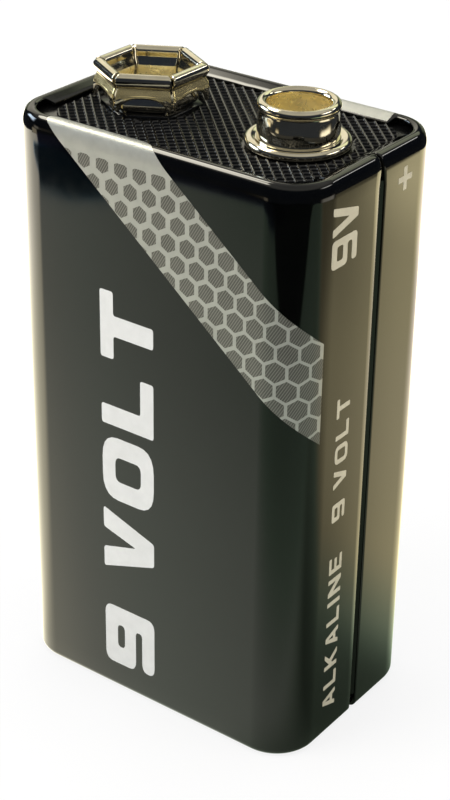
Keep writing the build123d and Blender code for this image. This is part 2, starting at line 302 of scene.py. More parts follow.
def closed_up(s, h):
    """The two ends of the sheet come nearer to each other on the rim than down the wall."""
    closing = RIM_CLOSING * ease(CLOSING_FROM, SHOULDER_H, h)
    ends = ease(AROUND - CLOSING_REACH, AROUND, s) - ease(CLOSING_REACH, 0.0, s)
    return s + closing * ends


def stations():
    """Places along s where the sheet has a section: close together at its ends and at the corners."""
    arc_steps, line_step, margin, joint_step, least = 28, 0.9, 0.5, 0.06, 0.012
    out = [0.0, 0.015, NEAR_ROUND]
    for (kind, length), start, end in zip(RUNS, RUN_STARTS, RUN_STARTS[1:]):
        if kind == "arc":
            out += spaced(start, end, arc_steps, 1)[:-1]
        else:
            out += spaced(start + margin, end - margin, max(4, int(length / line_step)))
        if end < AROUND:
            out += [end + d * joint_step for d in range(-7, 8)]
    out += [AROUND - d for d in (0.2, FAR_ROUND, 0.045, 0.02, 0.0)]
    out = sorted(s for s in out if 0 <= s <= AROUND)
    kept = [out[0]]
    for s in out[1:]:
        if s - kept[-1] > least:
            kept.append(s)
    kept[-1] = AROUND
    return kept


def shared_rows():
    """Places along h that every section has, from the foot's edge to the end of the rim's bend."""
    foot = spaced(FOOT_H + WALL / 2, HEEL_H, 2) + spaced(HEEL_H, FOOT_R, 9, 1)
    rim = spaced(SHOULDER_Z, SHOULDER_H, 7, 1) + spaced(SHOULDER_H, BEND_H, 16, 1)
    return foot + WALL_ROWS + [SHOULDER_Z] + rim


def face_lifts(s):
    """Lift of the outer and inner face: both draw in at the near end, the outer one at the far end."""
    far = AROUND - s
    if s < NEAR_ROUND:
        drop = NEAR_ROUND - math.sqrt(max(0.0, NEAR_ROUND ** 2 - (NEAR_ROUND - s) ** 2))
        return -drop, -WALL + drop
    if far < FAR_ROUND:
        bow = math.sqrt(max(0.0, FAR_ROUND ** 2 - (FAR_ROUND - far) ** 2))
        return FAR_DROP / FAR_ROUND * bow - FAR_DROP, -WALL
    return 0.0, -WALL


def sheet_section(s, rows):
    """The sheet's closed section at s as (h, lift): outer face, rim's edge, inner face, foot's edge."""
    outer, inner = face_lifts(s)
    middle, half = (outer + inner) / 2, (outer - inner) / 2
    end = flange_h(rim_reach(s)) - WALL / 2
    heights = rows + [BEND_H + (end - BEND_H) * share for share in FLANGE_SHARES]
    section = [(h, outer) for h in heights]
    section += [(end + half * math.sin(a), middle + half * math.cos(a)) for a in EDGE_TURNS]
    section += [(h, inner) for h in reversed(heights)]
    section += [(heights[0] - half * math.sin(a), middle - half * math.cos(a)) for a in EDGE_TURNS]
    return section


def write_sheet_uv(bm, places):
    """Stores where each point lies on the sheet, which the hatched ink reads."""
    uv = bm.loops.layers.uv.new("Sheet")
    for face in bm.faces:
        for loop in face.loops:
            s, h = places[loop.vert]
            loop[uv].uv = (s * UV_PER_MM, h * UV_PER_MM)


def add_sheet(bm):
    """The folded sheet, closed at both ends of the seam."""
    rows = shared_rows()
    outer_count = len(rows) + len(FLANGE_SHARES)
    outside = outer_count + len(EDGE_TURNS)
    columns = stations()
    rings = []
    places = {}
    for s in columns:
        section = sheet_section(s, rows)
        ring = [bm.verts.new(sheet_point(closed_up(s, h), h, lift)) for h, lift in section]
        places.update({vert: (s, h) for vert, (h, lift) in zip(ring, section)})
        rings.append(ring)
    for a, b, s in zip(rings, rings[1:], columns[1:]):
        for k, face in enumerate(bridge(bm, a, b)):
            if k >= outside:
                face.material_index = BARE
            elif s < NEAR_ROUND + 0.005:
                face.material_index = CUT
    write_sheet_uv(bm, places)
    for ring, index in ((rings[0], CUT), (rings[-1], LACQUERED)):
        caps = close_strip(bm, ring[:outside + outer_count], outer_count)
        caps.append(bm.faces.new(ring[outside + outer_count - 1:] + ring[:1]))
        for face in caps:
            face.material_index = index


def add_lap(bm):
    """The lap behind the seam: a strip on the inside of one end that reaches past the other one."""
    lap_x = HALF_W - 1.5 * WALL - 0.05
    wall_x = HALF_W - WALL / 2 - 0.012
    bends, bend_radius = ((wall_x, 0.99), (lap_x, 0.55)), 0.3
    low_z, high_z = 1.3, 43.83
    line = round_path([(wall_x, 1.7), *bends, (lap_x, -2.16)], (bend_radius, bend_radius), 8)
    sides = two_sides([Vector(p) for p in line], WALL / 2)
    loop = [a for a, b in sides] + [b for a, b in reversed(sides)]
    bottom, top = (add_points(bm, [(p.x, p.y, z) for p in loop]) for z in (low_z, high_z))
    bridge(bm, bottom, top)
    close_strip(bm, bottom, len(sides))
    close_strip(bm, top, len(sides))


def build_jacket():
    bm = bmesh.new()
    add_sheet(bm)
    add_lap(bm)
    finishes = ["jacket_lacquer", "sheet_steel", "sheet_cut_edge"]
    add_piece("jacket_shell", bm, 50, finishes, ("jacket",))


# Print: flat shapes in sheet coordinates, cut where the sheet curves and wrapped onto it

FILM_SINK = 0.02
STRIPE_LIFT, MARK_LIFT, CELL_LIFT = 0.008, 0.009, 0.012


def clip(polygon, a, b, c):
    """The part of a polygon where a*s + b*h <= c."""
    out = []
    for i, p in enumerate(polygon):
        q = polygon[(i + 1) % len(polygon)]
        dp, dq = a * p[0] + b * p[1] - c, a * q[0] + b * q[1] - c
        if dp <= 0:
            out.append(p)
        if (dp < 0 < dq) or (dq < 0 < dp):
            t = dp / (dp - dq)
            out.append((p[0] + (q[0] - p[0]) * t, p[1] + (q[1] - p[1]) * t))
    return out


def add_flat_shapes(bm, shapes):
    """Each shape is a list of loops: the outline, then any holes."""
    for loops in shapes:
        flat = [[Vector((s, h, 0)) for s, h in loop] for loop in loops]
        verts = [bm.verts.new(p) for loop in flat for p in loop]
        for triangle in tessellate_polygon(flat):
            bm.faces.new([verts[i] for i in triangle])


def cut_at_bends(bm):
    """Cuts flat shapes finely enough for them to follow the corners, the shoulder and the rim."""
    cuts = []
    for (kind, length), start, end in zip(RUNS, RUN_STARTS, RUN_STARTS[1:]):
        if kind == "arc":
            cuts += [(0, s) for s in spaced(start, end, 24)]
    cuts += [(1, h) for h in spaced(SHOULDER_Z, SHOULDER_H, 5) + spaced(SHOULDER_H, BEND_H, 12, 1)]
    for axis, value in cuts:
        reached = [v.co[axis] for v in bm.verts]
        if min(reached) < value < max(reached):
            normal = Vector((1 - axis, axis, 0))
            geometry = bm.verts[:] + bm.edges[:] + bm.faces[:]
            bmesh.ops.bisect_plane(bm, geom=geometry, dist=1e-7, plane_co=normal * value, plane_no=normal)
    bmesh.ops.remove_doubles(bm, verts=bm.verts[:], dist=1e-6)


def print_shapes(name, shapes, lift, ink_name):
    """A film of ink on the sheet: its face is lifted off the sheet and its underside is sunk into it."""
    bm = bmesh.new()
    add_flat_shapes(bm, shapes)
    cut_at_bends(bm)
    places = {v: (v.co.x, v.co.y) for v in bm.verts}
    under = bm.faces[:]
    top = {v: bm.verts.new(sheet_point(*place, lift)) for v, place in places.items()}
    for edge in [e for e in bm.edges if len(e.link_faces) == 1]:
        a, b = edge.verts
        bm.faces.new((a, b, top[b], top[a]))
    for face in under:
        bm.faces.new([top[v] for v in face.verts])
    write_sheet_uv(bm, {**places, **{top[v]: place for v, place in places.items()}})
    for v, place in places.items():
        v.co = sheet_point(*place, -FILM_SINK)
    add_piece(name, bm, 40, [ink_name])


def turned(shapes):
    """The same shapes on the other side of the body, half a turn round."""
    shift = (AROUND + SEAM_FAR - SEAM_NEAR) / 2
    return [[[(s + shift, h) for s, h in loop] for loop in loops] for loops in shapes]


# The stripe: its long edges rise with s, and it ends at one corner and runs over the rim

FRONT_S = RUN_STARTS[2] + HALF_W - CORNER
STRIPE_SLOPE = 0.822
STRIPE_LOW = 26.37 - STRIPE_SLOPE * 5.6
STRIPE_HIGH = 34.24 - STRIPE_SLOPE * 5.8
STRIPE_END = 5.82
STRIPE_FAR = 29.1
STRIPE_TOP = flange_h(FLANGE) - 0.19
CELL_PITCH = 1.62
CELL_LOW = 21.2
CELL_ROWS, CELL_COLUMNS = 34, 17
CELL_FAR = 29.0
CELL_TOP = SHOULDER_Z - 0.35
LEAST_CELL = 0.03


def stripe_clip(polygon):
    polygon = clip(polygon, -STRIPE_SLOPE, 1, STRIPE_HIGH)
    polygon = clip(polygon, STRIPE_SLOPE, -1, -STRIPE_LOW)
    return clip(polygon, -1, 0, -STRIPE_END)


def box(x0, y0, x1, y1):
    return [(x0, y0), (x1, y0), (x1, y1), (x0, y1)]


def polygon_area(polygon):
    area = 0.0
    for p, q in zip(polygon, polygon[1:] + polygon[:1]):
        area += (p[0] * q[1] - q[0] * p[1]) / 2
    return abs(area)


def stripe_cells():
    """Upright six-sided cells of one pitch in level rows, with lines that thicken towards the far end."""
    cells = []
    for row, column in product(range(CELL_ROWS), range(CELL_COLUMNS)):
        s = STRIPE_END + 0.2 + (column + (row % 2) / 2) * CELL_PITCH
        h = CELL_LOW + row * (CELL_PITCH * math.sqrt(3) / 2)
        radius = CELL_PITCH / math.sqrt(3) * (0.87 - 0.24 * ease(STRIPE_END, 30.0, s))
        cell = stripe_clip(arc(s, h, radius, 30, 390, 6)[:-1])
        cell = clip(clip(cell, 1, 0, CELL_FAR), 0, 1, CELL_TOP)
        if len(cell) > 2 and polygon_area(cell) > LEAST_CELL:
            cells.append([cell])
    return cells


# Letters one unit high, each an outline with its corners rounded, and a hole in some

LETTER_WIDTH = 0.82
SPACE = 0.5


def rounded(points, radius, steps=5):
    """A closed outline with its corners rounded."""
    out = []
    for p0, p1, p2 in zip(points[-1:] + points, points, points[1:] + points[:1]):
        p1 = Vector(p1)
        a, b = Vector(p0) - p1, Vector(p2) - p1
        r = min(radius, a.length * 0.48, b.length * 0.48)
        a, b = a.normalized() * r, b.normalized() * r
        for k in range(steps + 1):
            t = k / steps
            out.append(tuple(p1 + a * (1 - t) ** 2 + b * t ** 2))
    return out


def glyph(letter, t):
    """Loops and width of one letter whose strokes are t wide."""
    w, c, waist, thin = LETTER_WIDTH, LETTER_WIDTH / 2, 0.38, t * 0.9
    narrow, wide = w * 0.84, w * 0.9
    arm_low, arm_high = 0.5 - t * 0.45, 0.5 + t * 0.45
    outlines = {
        "O": (0.3, box(0, 0, w, 1)),
        "9": (0.14, [(0.03, 0), (w, 0), (w, 1), (0, 1), (0, waist), (w - t, waist), (w - t, t), (0.03, t)]),
        "V": (0.04, [
            (0, 1), (t * 1.1, 1), (c, 0.36), (w - t * 1.1, 1), (w, 1), (c + t * 0.62, 0), (c - t * 0.62, 0),
        ]),
        "L": (0.04, [(0, 0), (narrow, 0), (narrow, t), (t, t), (t, 1), (0, 1)]),
        "T": (0.04, [
            (c - t / 2, 0), (c + t / 2, 0), (c + t / 2, 1 - t), (w, 1 - t),
            (w, 1), (0, 1), (0, 1 - t), (c - t / 2, 1 - t),
        ]),
        "I": (0.03, box(0, 0, t, 1)),
        "A": (0.03, [
            (0, 0), (t, 0), (t + 0.06, 0.2), (w - t - 0.06, 0.2),
            (w - t, 0), (w, 0), (c + t * 0.6, 1), (c - t * 0.6, 1),
        ]),
        "K": (0.03, [
            (0, 0), (t, 0), (t, 0.34), (t + 0.09, 0.43), (w - t * 1.15, 0), (w, 0),
            (t + 0.26, 0.6), (w - 0.02, 1), (w - t * 1.2, 1), (t, 0.62), (t, 1), (0, 1),
        ]),
        "N": (0.03, [
            (0, 0), (t, 0), (t, 0.6), (w - t, 0), (w, 0), (w, 1), (w - t, 1), (w - t, 0.4), (t, 1), (0, 1),
        ]),
        "E": (0.03, [
            (0, 0), (wide, 0), (wide, thin), (t, thin), (t, arm_low), (w * 0.8, arm_low),
            (w * 0.8, arm_high), (t, arm_high), (t, 1 - thin), (wide, 1 - thin), (wide, 1), (0, 1),
        ]),
    }
    holes = {
        "O": rounded(box(t, t, w - t, 1 - t), 0.1),
        "9": rounded(box(t, waist + thin, w - t, 1 - t), 0.07),
        "A": [(t + 0.13, 0.4), (w - t - 0.13, 0.4), (c, 0.8)],
    }
    radius, outline = outlines[letter]
    loops = [rounded(outline, radius)]
    if letter in holes:
        loops.append(holes[letter])
    return loops, max(x for x, y in outline)


def lettering(text, s_middle, h_start, height, stretch, gap, stroke):
    """Shapes and length of a line that reads upwards along h, with the letters' tops towards larger s."""
    shapes = []
    cursor = 0.0
    for letter in text:
        if letter == " ":
            cursor += SPACE * height
            continue
        loops, width = glyph(letter, stroke)
        s, h, wide = s_middle - 0.5 * height, h_start + cursor, height * stretch
        shapes.append([[(s + y * height, h + x * wide) for x, y in loop] for loop in loops])
        cursor += (width * stretch + gap) * height
    return shapes, cursor


SIGN_H, SIGN_SIZE, SIGN_STROKE = 43.25, 1.7, 0.42


def plus_sign(s, h=SIGN_H, a=SIGN_SIZE / 2, b=SIGN_STROKE / 2):
    return [[[
        (s - b, h - a), (s + b, h - a), (s + b, h - b), (s + a, h - b), (s + a, h + b), (s + b, h + b),
        (s + b, h + a), (s - b, h + a), (s - b, h + b), (s - a, h + b), (s - a, h - b), (s - b, h - b),
    ]]]


def minus_sign(s, h=SIGN_H, a=SIGN_SIZE / 2, b=SIGN_STROKE / 2):
    return [[box(s - a, h - b, s + a, h + b)]]


def print_jacket():
    """The stripe and the large words stand on both wide faces, the small ones on the seam's side."""
    front_words, length = lettering("9 VOLT", FRONT_S + 1.9, 2.4, 4.8, 1.35, 0.2, 0.25)
    stripe = box(STRIPE_END, 20.0, STRIPE_FAR, STRIPE_TOP)
    for name, shapes, lift, ink_name in (
        ("stripe", [[stripe_clip(stripe)]], STRIPE_LIFT, "silver_ink"),
        ("stripe_cells", stripe_cells(), CELL_LIFT, "cell_ink"),
        ("volt_mark", front_words, MARK_LIFT, "white_ink"),
    ):
        print_shapes(name + "_front", shapes, lift, ink_name)
        print_shapes(name + "_back", turned(shapes), lift, ink_name)

    row_s, row_h, row_size = 3.1, 2.4, (1.6, 1.15, 0.3, 0.2)
    side_mark, length = lettering("9V", 3.95, 39.4, 2.95, 0.86, 0.09, 0.2)
    first, length = lettering("ALKALINE", row_s, row_h, *row_size)
    second, length = lettering("9 VOLT", row_s, row_h + length + 2.6, *row_size)
    for name, shapes in (
        ("side_mark", side_mark),
        ("side_row", first + second),
        ("plus_mark", plus_sign(AROUND - 2.53)),
        ("minus_mark", minus_sign(RUN_STARTS[4] + 5.05)),
    ):
        print_shapes(name, shapes, MARK_LIFT, "cream_ink")


# Top plate: a knurled field on a moulded slab, and a seat under each terminal

KNURL_PITCH = 0.62
FIELD_X, FIELD_Y, FIELD_CORNER, FIELD_MIDDLE = 10.85, 6.6, 2.2, 0.2
STUD_RECESS, SOCKET_RECESS, RECESS_EDGE = 3.86, 3.5, 0.1
STUD_SEAT_R, SOCKET_SEAT_R = 3.3, 3.22 / math.cos(HALF_SIXTH)
# Height, half the crest's width and half the foot's width of each set of ridges
STRONG_RIDGE = (0.245, 0.07, 0.14)
CROSS_RIDGE = (0.20, 0.05, 0.12)
CREST_DROP = 0.18
GRID_LINES = (0.0, 0.04, 0.075, 0.11, 0.15, 0.31, 0.47, 0.51, 0.545, 0.58)


def rounded_rectangle(half_x, half_y, radius):
    points = []
    for side_x, side_y, start in ((1, 1, 0), (-1, 1, 90), (-1, -1, 180), (1, -1, 270)):
        points += arc(side_x * (half_x - radius), side_y * (half_y - radius), radius, start, start + 90, 10)
    return points


def loft(bm, rings):
    """Closed rings of equal size joined in order, with both ends filled."""
    made = [add_points(bm, ring) for ring in rings]
    for a, b in zip(made, made[1:]):
        bridge(bm, a, b)
    bm.faces.new(made[0])
    bm.faces.new(made[-1])


def ridge(t, height, crest, half):
    """Height of a rounded ridge at t from its middle line."""
    t = abs(t)
    if t <= crest:
        return height * (1 - CREST_DROP * (t / crest) ** 2)
    return height * (1 - CREST_DROP) * (1 - ease(crest, half, t))


def knurl_height(u, v):
    """Two sets of ridges: the strong ones run towards +X -Y, the low ones cross them."""
    half = KNURL_PITCH / 2
    du = (u + half) % KNURL_PITCH - half
    dv = (v + half) % KNURL_PITCH - half
    swell = 1 + 0.07 * math.sin(u * 1.3) * math.sin(v * 0.7 + 1)
    return max(ridge(du, *STRONG_RIDGE), ridge(dv, *CROSS_RIDGE)) * swell


def add_knurl(bm):
    """The field in millimetres, on a grid turned by 45 degrees, and flat round the terminals."""
    lines = [k * KNURL_PITCH + line for k in range(-22, 22) for line in GRID_LINES]
    root = math.sqrt(0.5)
    margin, film = 0.4, 0.004
    grid = {}
    for (i, u), (j, v) in product(enumerate(lines), enumerate(lines)):
        x, y = (u + v) * root, (u - v) * root
        if abs(x - FIELD_MIDDLE) > FIELD_X + margin or abs(y) > FIELD_Y + margin:
            continue
        tall = knurl_height(u, v)
        for centre_x, recess in ((STUD_X, STUD_RECESS), (SOCKET_X, SOCKET_RECESS)):
            tall *= ease(recess, recess + RECESS_EDGE, math.hypot(x - centre_x, y))
        grid[i, j] = bm.verts.new((x, y, PLATE_FLOOR + film + tall))
    for (i, j), corner in grid.items():
        others = [grid.get(place) for place in ((i + 1, j), (i + 1, j + 1), (i, j + 1))]
        if all(others):
            bm.faces.new((corner, *others))


def trim_field(bm):
    """Cuts the grid off along the field's straight borders and round its corners."""
    for turn in range(0, 360, 15):
        nx, ny = math.cos(math.radians(turn)), math.sin(math.radians(turn))
        px = math.copysign(FIELD_X - FIELD_CORNER, nx) + nx * FIELD_CORNER
        py = math.copysign(FIELD_Y - FIELD_CORNER, ny) + ny * FIELD_CORNER
        bmesh.ops.bisect_plane(
            bm, geom=bm.verts[:] + bm.edges[:] + bm.faces[:], dist=1e-6,
            plane_co=(px + FIELD_MIDDLE, py, 0), plane_no=(nx, ny, 0), clear_outer=True,
        )


def add_skirt(bm):
    """Walls from the field's border down into the slab, and a floor, so that the field is closed."""
    depth = 0.1
    border = [edge for edge in bm.edges if len(edge.link_faces) == 1]
    corners = dict.fromkeys(v for edge in border for v in edge.verts)
    low = {v: bm.verts.new((v.co.x, v.co.y, PLATE_FLOOR - depth)) for v in corners}
    bottom = []
    for edge in border:
        a, b = edge.verts
        bm.faces.new((a, b, low[b], low[a]))
        bottom.append(bm.edges.get((low[a], low[b])))
    bmesh.ops.contextual_create(bm, geom=bottom)


def add_slab(bm):
    """The slab, eased at its border."""
    outline = [
        (12.6, 8.1, 3.05, PLATE_BOTTOM),
        (12.6, 8.1, 3.05, PLATE_FLOOR - 0.3),
        (12.5, 8.0, 2.95, PLATE_FLOOR - 0.1),
        (12.3, 7.8, 2.75, PLATE_FLOOR - 0.01),
        (11.4, 6.9, 2.2, PLATE_FLOOR),
    ]
    loft(bm, [[(x, y, z) for x, y in rounded_rectangle(hx, hy, r)] for hx, hy, r, z in outline])


def add_seats(bm):
    """A round seat under the stud and a six-sided one under the socket, each with a small chamfer."""
    for centre_x, radius, steps in ((STUD_X, STUD_SEAT_R, 72), (SOCKET_X, SOCKET_SEAT_R, 6)):
        levels = ((radius, PLATE_FLOOR - 0.2), (radius, SEAT - 0.05), (radius - 0.04, SEAT - 0.001))
        loft(bm, [turn_ring(centre_x, r, z, steps, 0.5) for r, z in levels])


def build_top_plate():
    bm = bmesh.new()
    add_knurl(bm)
    trim_field(bm)
    add_skirt(bm)
    bmesh.ops.scale(bm, vec=(MM, MM, MM), verts=bm.verts[:])
    add_slab(bm)
    add_seats(bm)
    add_piece("top_plate_knurled", bm, 55, ["black_plastic"], ("top_plate",))


# Terminals: sections are (radius, height)

def build_stud():
    """A drawn cup: rolled lip, slightly waisted barrel, and a flange whose rim curls down round its seat."""
    lip, lip_radius, lip_z = 0.34, 2.53, HEIGHT - 0.34
    barrel_low, barrel_high, barrel_steps = SEAT + 0.95, HEIGHT - 0.68, 8
    lip_out = list(reversed(arc(lip_radius, lip_z, lip, -58, 90, 22)))
    barrel = []
    for share in spaced(1.0, 0.0, barrel_steps):
        barrel.append((2.86 - 0.16 * share ** 1.6, barrel_low + (barrel_high - barrel_low) * share))
    barrel += [(2.862, SEAT + 0.7), (2.86, SEAT + 0.40)]
    foot = [(2.875, SEAT + 0.345), (2.92, SEAT + 0.335), (3.0, SEAT + 0.365)]
    rim = [(3.1, SEAT + 0.405), (3.22, SEAT + 0.425)] + arc(3.35, SEAT + 0.09, 0.34, 90, -75, 20)
    under = [(3.36, SEAT - 0.1), (3.34, SEAT), (2.2, SEAT), (0.88, SEAT)]
    hollow = [
        (0.88, SEAT + 0.3), (1.9, SEAT + 0.3), (2.2, SEAT + 0.33), (2.38, SEAT + 0.45), (2.46, SEAT + 0.62),
        (2.47, SEAT + 1.0), (2.465, SEAT + 1.5), (2.45, HEIGHT - 1.1), (2.41, HEIGHT - 0.9),
        (2.33, HEIGHT - 0.70), (2.25, HEIGHT - 0.56),
    ]
    lip_in = arc(lip_radius, lip_z, lip, 205, 90, 16)[1:-1]
    outside = lip_out + barrel + foot + rim + under
    first, last = len(outside), len(outside) + len(hollow)
    bm = bmesh.new()
    revolve(bm, STUD_X, outside + hollow + lip_in, 120, material_of=lambda i: int(first <= i <= last))
    finishes = ["nickel_plate", "terminal_inside"]
    add_piece("stud_terminal", bm, 60, finishes, ("positive_stud",))


# The socket: six petals bent from one sheet, that rise to a rolled lip and come down to an arched skirt

SHEET = 0.22
SLIT = 0.2
SOCKET_CORNER = 4.2
SOCKET_H = HEIGHT - SEAT
APOTHEM = SOCKET_CORNER * math.cos(HALF_SIXTH)
LIP_OUTER = APOTHEM - SHEET / 2
LIP_INNER = APOTHEM - 0.80 + SHEET / 2
SETBACK = SLIT / 2 / math.sin(HALF_SIXTH)
SKIRT_TOP = 0.5 * SOCKET_H
SKIRT_STEPS = 7
SKIRT_OUT = 0.03
ARCH_RISE, ARCH_HEIGHT, ARCH_HALF = 0.40, 1.02, SOCKET_CORNER / 2 - 0.4
SIDE_SHARES = [0.87, 0.92, 0.96, 0.985, 1.0]
PETAL_SHARES = [-x for x in reversed(SIDE_SHARES)] + [x / 10 for x in range(-8, 9)] + SIDE_SHARES
THINNING = {1.0: 0.06, 0.985: 0.02}
# The second golden finish is a painted sheen: a band on the skirt that the lamps light, where the nickel
# round it reflects dark
GOLD_INSIDE, SKIRT_GOLD_SHEEN = 1, 2


def petal_line():
    """The middle of a petal's sheet as (distance out, height), from the floor over the lip to the skirt."""
    half = SHEET / 2
    lip_bend = (LIP_OUTER - LIP_INNER) / 2.05
    path = [
        (1.0, half), (3.0, half), (2.66, 0.5 * SOCKET_H), (LIP_INNER, 0.76 * SOCKET_H),
        (LIP_INNER, SOCKET_H - half), (LIP_OUTER, SOCKET_H - half), (LIP_OUTER, 0.78 * SOCKET_H),
        (LIP_OUTER - 0.24, 0.66 * SOCKET_H), (LIP_OUTER, 0.5 * SOCKET_H), (LIP_OUTER, 0.2 * SOCKET_H),
    ]
    radii = (0.4, 0.6, 0.3, lip_bend, lip_bend, 0.16, 0.22, 0.3)
    line = [Vector(p) for p in round_path(path, radii)]
    return line[:1 + max(i for i, p in enumerate(line) if p.y > SKIRT_TOP)]


def arch(y):
    """Height of the skirt's lower edge: an arch between two feet."""
    t = abs(y) / ARCH_HALF
    return ARCH_RISE + (ARCH_HEIGHT * math.sqrt(1 - t ** 2.4) if t < 1 else 0.0)


def skirt_line(start, bottom):
    """The skirt's part of the line, from the last bend down to its lower edge."""
    line = []
    for share in spaced(0.0, 1.0, SKIRT_STEPS, 1):
        out = (LIP_OUTER + SKIRT_OUT - start.x) * ease(0, 0.5, share)
        line.append(Vector((start.x + out, start.y + (bottom - start.y) * share)))
    return line


def petal_section(line, share):
    """A petal's closed section at a share of its half width, as (distance out, sideways, height)."""
    half = SHEET / 2 - THINNING.get(abs(share), 0.0)
    spread = share * math.tan(HALF_SIXTH)
    line = line + skirt_line(line[-1], arch(spread * (LIP_OUTER - SETBACK)))
    sides = two_sides(line, half)
    end = [line[-1] + Vector((c, -d)) * half for c, d in ((0.7, 0.7), (0.0, 1.0), (-0.7, 0.7))]
    loop = [a for a, b in sides] + end + [b for a, b in reversed(sides)]
    return [(p.x, spread * (p.x - SETBACK), p.y) for p in loop]


def add_petal(bm, line, angle):
    """One petal; its inside is golden, the waist above its skirt has a golden finish that the lamps light, a
    painted sheen, and the rest is nickel.
    """
    turn = Matrix.Rotation(angle, 3, "Z")
    centre = Vector((SOCKET_X, 0, SEAT))
    rings = []
    for share in PETAL_SHARES:
        rings.append(add_points(bm, [centre + turn @ Vector(p) for p in petal_section(line, share)]))
    top = max(range(len(line)), key=lambda i: line[i].y)
    count = len(line) + SKIRT_STEPS
    for a, b in zip(rings, rings[1:]):
        for k, face in enumerate(bridge(bm, a, b)[:count - 1]):
            level = (face.calc_center_median().z / MM - SEAT) / SOCKET_H
            if k < top and level < 0.6:
                face.material_index = GOLD_INSIDE
            # Painted sheen: the skirt's band gets a partly diffuse golden finish, so it shows lit between
            # nickel that reflects dark
            elif k >= top and 0.42 < level < 0.66:
                face.material_index = SKIRT_GOLD_SHEEN
    for ring in (rings[0], rings[-1]):
        close_strip(bm, ring, count)


def build_socket():
    bm = bmesh.new()
    line = petal_line()
    for turn in range(6):
        add_petal(bm, line, 2 * HALF_SIXTH * turn)
    floor = [(2.6, SEAT), (2.6, SEAT + 0.1), (2.56, SEAT + 0.235), (0.88, SEAT + 0.235), (0.88, SEAT)]
    revolve(bm, SOCKET_X, floor, 72)
    finishes = ["nickel_plate", "terminal_inside", "skirt_gold_sheen"]
    add_piece("socket_terminal", bm, 50, finishes, ("negative_socket",))


def build_rivet(name, node, centre_x, floor):
    """A rivet with a domed head and the upset under the lead."""
    seat = SEAT + floor
    head = [
        (0, seat + 0.45), (0.35, seat + 0.44), (0.7, seat + 0.405), (1.0, seat + 0.33),
        (1.22, seat + 0.22), (1.36, seat + 0.1), (1.4, seat + 0.03), (1.38, seat),
    ]
    shank = [(0.86, seat - 0.001), (0.85, 43.7)]
    upset = [(1.2, 43.7), (1.25, 43.66), (1.25, 43.6), (1.18, 43.5), (0.9, 43.45), (0, 43.45)]
    bm = bmesh.new()
    revolve(bm, centre_x, head + shank + upset, 64, closed=False)
    add_piece(name, bm, 45, ["rivet_steel"], (node,))


# Materials: lengths in a node tree are metres, and a noise is (scale, detail, roughness)

MICRON = 0.000001
LOW_STOP, HIGH_STOP = 0.3, 0.7


def connect(tree, node, **inputs):
    """Gives a node's inputs their values, each a plain value or another node's output."""
    for name, value in inputs.items():
        socket = node.inputs[name.replace("_", " ")]
        if isinstance(value, bpy.types.NodeSocket):
            tree.links.new(value, socket)
        else:
            socket.default_value = value
    return node


def new_node(tree, kind, **inputs):
    return connect(tree, tree.nodes.new("ShaderNode" + kind), **inputs)


def new_material(name):
    material = bpy.data.materials.new(name)
    material.use_nodes = True
    return material, material.node_tree, material.node_tree.nodes["Principled BSDF"]


def coordinates(tree, scale=(1, 1, 1)):
    source = new_node(tree, "TexCoord")
    return new_node(tree, "Mapping", Vector=source.outputs["Object"], Scale=scale).outputs["Vector"]


def noise(tree, vector, scale, detail, rough):
    node = new_node(tree, "TexNoise", Vector=vector, Scale=scale, Detail=detail, Roughness=rough)
    return node.outputs["Fac"]


def ramp(tree, value, stops):
    node = new_node(tree, "ValToRGB", Fac=value)
    while len(node.color_ramp.elements) < len(stops):
        node.color_ramp.elements.new(0.5)
    for element, (position, colour) in zip(node.color_ramp.elements, stops):
        element.position = position
        element.color = (*colour, 1.0)
    return node.outputs["Color"]


def mottled(tree, vector, pattern, low, high):
    """A colour that wanders between two tones with a noise."""
    return ramp(tree, noise(tree, vector, *pattern), [(LOW_STOP, low), (HIGH_STOP, high)])


def math_node(tree, kind, a, b):
    node = new_node(tree, "Math")
    node.operation = kind
    for socket, value in zip(node.inputs, (a, b)):
        if isinstance(value, float):
            socket.default_value = value
        else:
            tree.links.new(value, socket)
    return node.outputs["Value"]


def mix_colours(tree, factor, a, b):
    """Colour a where the factor is 0 and b where it is 1."""
    node = new_node(tree, "Mix")
    node.data_type = "RGBA"
    return connect(tree, node, Factor=factor, A=a, B=b).outputs["Result"]


def hatched(tree, colour, pitch, share, line_colour):
    """Slanting lines over a colour, set out in millimetres on the jacket's sheet."""
    uv = new_node(tree, "UVMap")
    uv.uv_map = "Sheet"
    place = new_node(tree, "SeparateXYZ", Vector=uv.outputs["UV"])
    along = math_node(tree, "MULTIPLY", place.outputs["X"], 1 / UV_PER_MM / pitch)
    rise = math_node(tree, "MULTIPLY", place.outputs["Y"], 0.6 / UV_PER_MM / pitch)
    wave = math_node(tree, "PINGPONG", math_node(tree, "ADD", rise, along), 0.5)
    line = math_node(tree, "LESS_THAN", wave, share / 2)
    return mix_colours(tree, line, colour, (*line_colour, 1.0))


def finish(name, dark, light, rough, metallic, mottle, wear, grain, lift, stretch=(1, 1, 1), hatch=None):
    """Colour that wanders between two tones, uneven roughness and a fine grain, each from its own noise."""
    material, tree, shader = new_material(name)
    vector = coordinates(tree, stretch)
    colour = mottled(tree, vector, mottle, dark, light)
    if hatch:
        colour = hatched(tree, colour, *hatch)
    smooth, worn = rough
    roughness = mottled(tree, vector, wear, (smooth,) * 3, (worn,) * 3)
    strength, height = lift
    height *= MICRON
    bump = new_node(tree, "Bump", Strength=strength, Distance=height, Height=noise(tree, vector, *grain))
    connect(tree, shader, Base_Color=colour, Metallic=metallic, Roughness=roughness)
    connect(tree, shader, Normal=bump.outputs["Normal"])
    return material


def surface(name, dark, light, rough, metallic, grain, patches=700, stretch=(1, 1, 1)):
    """A metal, plastic or card; its grain is (noise scale, strength, height in microns)."""
    scale, *lift = grain
    mottle, wear = (patches, 4.0, 0.6), (patches * 2.3, 5.0, 0.65)
    return finish(name, dark, light, rough, metallic, mottle, wear, (scale, 3.0, 0.6), lift, stretch)


